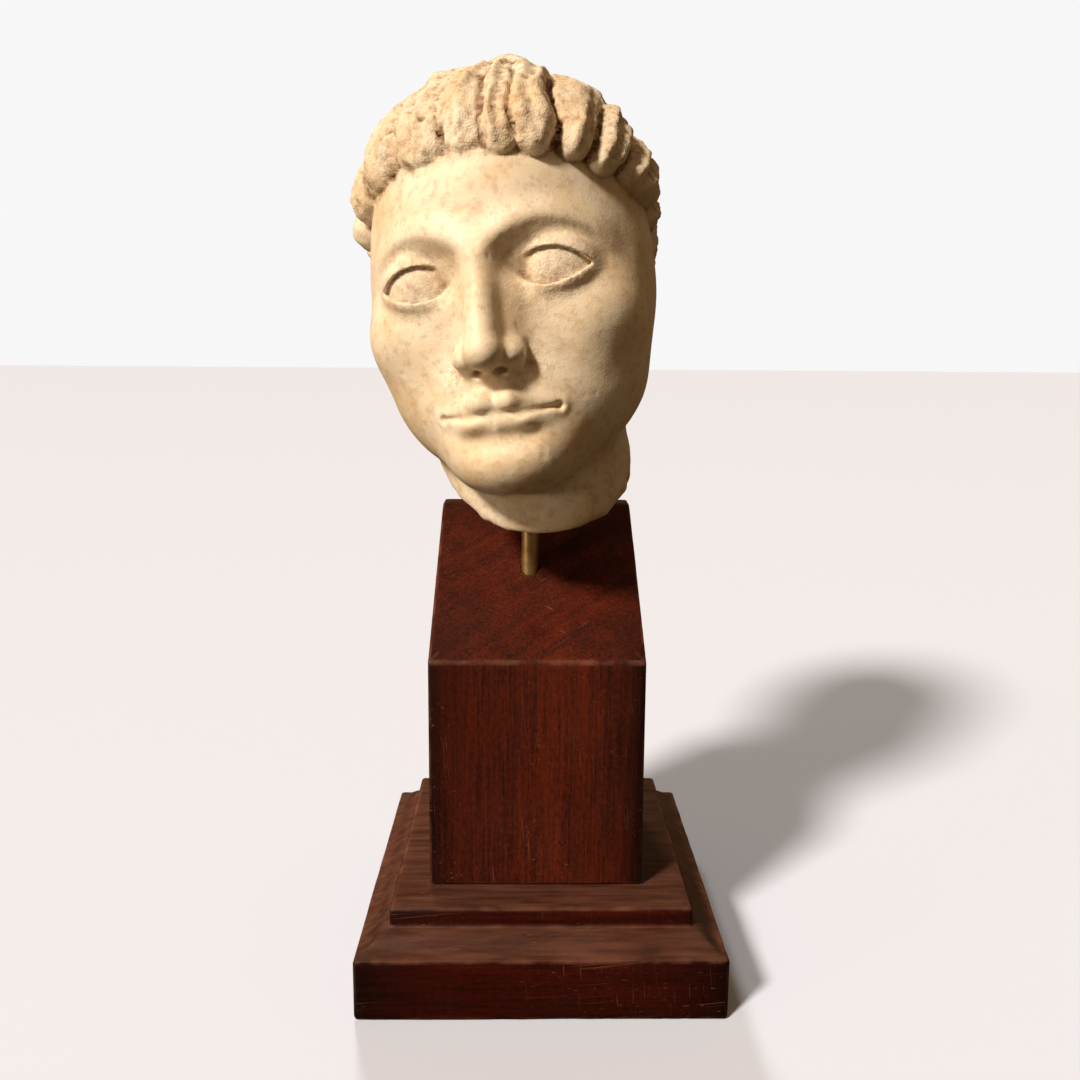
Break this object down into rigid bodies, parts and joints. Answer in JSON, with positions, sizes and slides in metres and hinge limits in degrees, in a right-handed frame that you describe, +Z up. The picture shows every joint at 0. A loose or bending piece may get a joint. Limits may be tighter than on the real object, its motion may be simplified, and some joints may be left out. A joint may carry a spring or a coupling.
{
  "type": "marble head on a plinth",
  "caption": "Carved marble head with short thick locks and a broken neck, tilted on a brass rod above a moulded wooden plinth with a sloping top.",
  "frame": {"origin": "centre of the plinth board's underside, on the surface it stands on", "axes": "+Z up, the head and the plinth's front face along -Y, the viewer's right along +X"},
  "size_m": [0.133, 0.1371, 0.3269],
  "materials": {
    "marble": "worn polished marble, warm ivory, with brown dirt in the carving",
    "brass": "drawn brass, pale gold, slightly dulled",
    "mahogany": "satin dark red-brown stained hardwood with small scratches"
  },
  "bodies": {
    "root": {"marble_head": "marble", "mounting_rod": "brass", "plinth_column": "mahogany", "plinth_base": "mahogany"}
  },
  "joints": []
}
